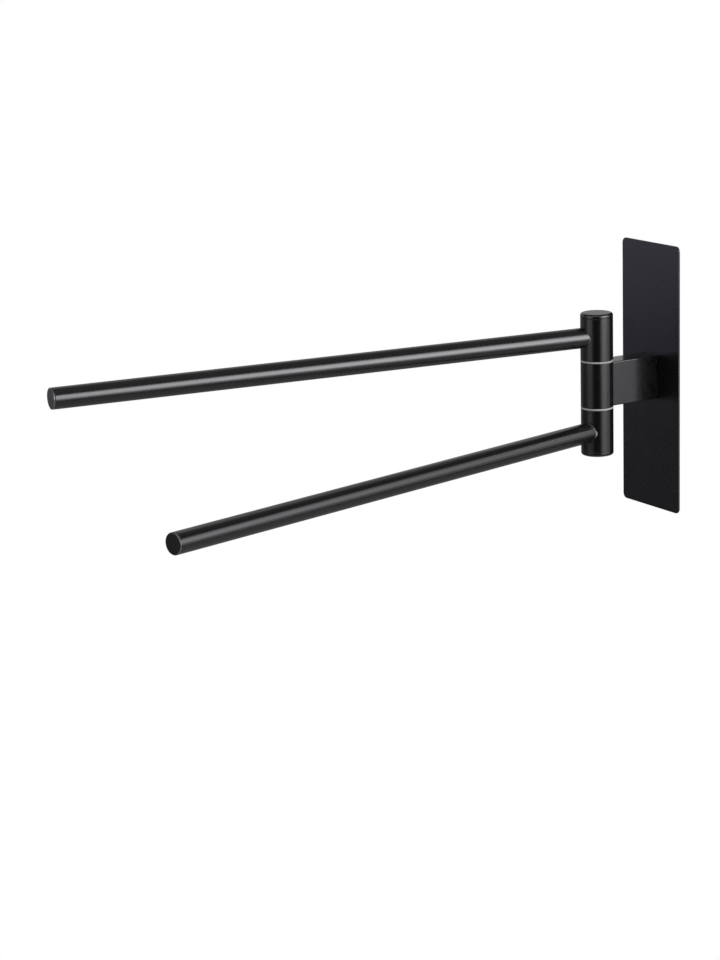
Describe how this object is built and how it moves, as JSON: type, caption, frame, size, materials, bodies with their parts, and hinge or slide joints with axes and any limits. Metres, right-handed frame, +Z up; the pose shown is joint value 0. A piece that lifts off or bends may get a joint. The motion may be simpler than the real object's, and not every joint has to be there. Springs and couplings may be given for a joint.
{
  "type": "two-arm swivel towel holder",
  "caption": "Wall-mounted towel holder in black coated steel, with round towel arms that swivel one above the other on a short column held off an adhesive wall plate.",
  "frame": {"origin": "centre of the adhesive pad's back face, on the wall", "axes": "+Z up the wall, +Y into the wall, +X to the right for someone facing the wall, so the arms reach out along -Y"},
  "size_m": [0.1658, 0.4696, 0.2],
  "materials": {
    "black_powder_coat": "satin black powder coat with a very fine texture on steel",
    "grey_nylon": "pale grey moulded nylon, matt",
    "white_nylon": "natural white nylon",
    "foam_tape": "grey acrylic foam tape",
    "zinc_steel": "bright zinc-plated steel fasteners",
    "bronze_bush": "sintered bronze, oil-filled"
  },
  "bodies": {
    "wall_bracket": {"adhesive_pad": "foam_tape", "wall_plate": "black_powder_coat", "bracket_arm": "black_powder_coat", "pivot_hub": "black_powder_coat", "pivot_bolt": "zinc_steel", "lock_nut": "zinc_steel", "lock_nut_ring": "white_nylon", "upper_flat_washer": "zinc_steel", "upper_disc_spring": "zinc_steel", "lower_flat_washer": "zinc_steel", "lower_disc_spring": "zinc_steel"},
    "upper_arm": {"upper_sleeve": "black_powder_coat", "upper_thrust_ring": "grey_nylon", "upper_bush": "bronze_bush", "upper_column_cap": "black_powder_coat", "upper_arm_tube": "black_powder_coat", "upper_arm_insert": "zinc_steel", "upper_arm_screw": "zinc_steel", "upper_arm_end_plug": "black_powder_coat"},
    "lower_arm": {"lower_sleeve": "black_powder_coat", "lower_thrust_ring": "grey_nylon", "lower_bush": "bronze_bush", "lower_column_cap": "black_powder_coat", "lower_arm_tube": "black_powder_coat", "lower_arm_insert": "zinc_steel", "lower_arm_screw": "zinc_steel", "lower_arm_end_plug": "black_powder_coat"}
  },
  "joints": [
    {"name": "upper_arm_swivel", "type": "hinge", "parent": "wall_bracket", "child": "upper_arm", "pos_m": [0, -0.0515, 0.0352], "axis": [0, 0, 1], "range_deg": [-83.5, 96.5]},
    {"name": "lower_arm_swivel", "type": "hinge", "parent": "wall_bracket", "child": "lower_arm", "pos_m": [0, -0.0515, -0.0352], "axis": [0, 0, 1], "range_deg": [-104.3, 75.7]}
  ]
}
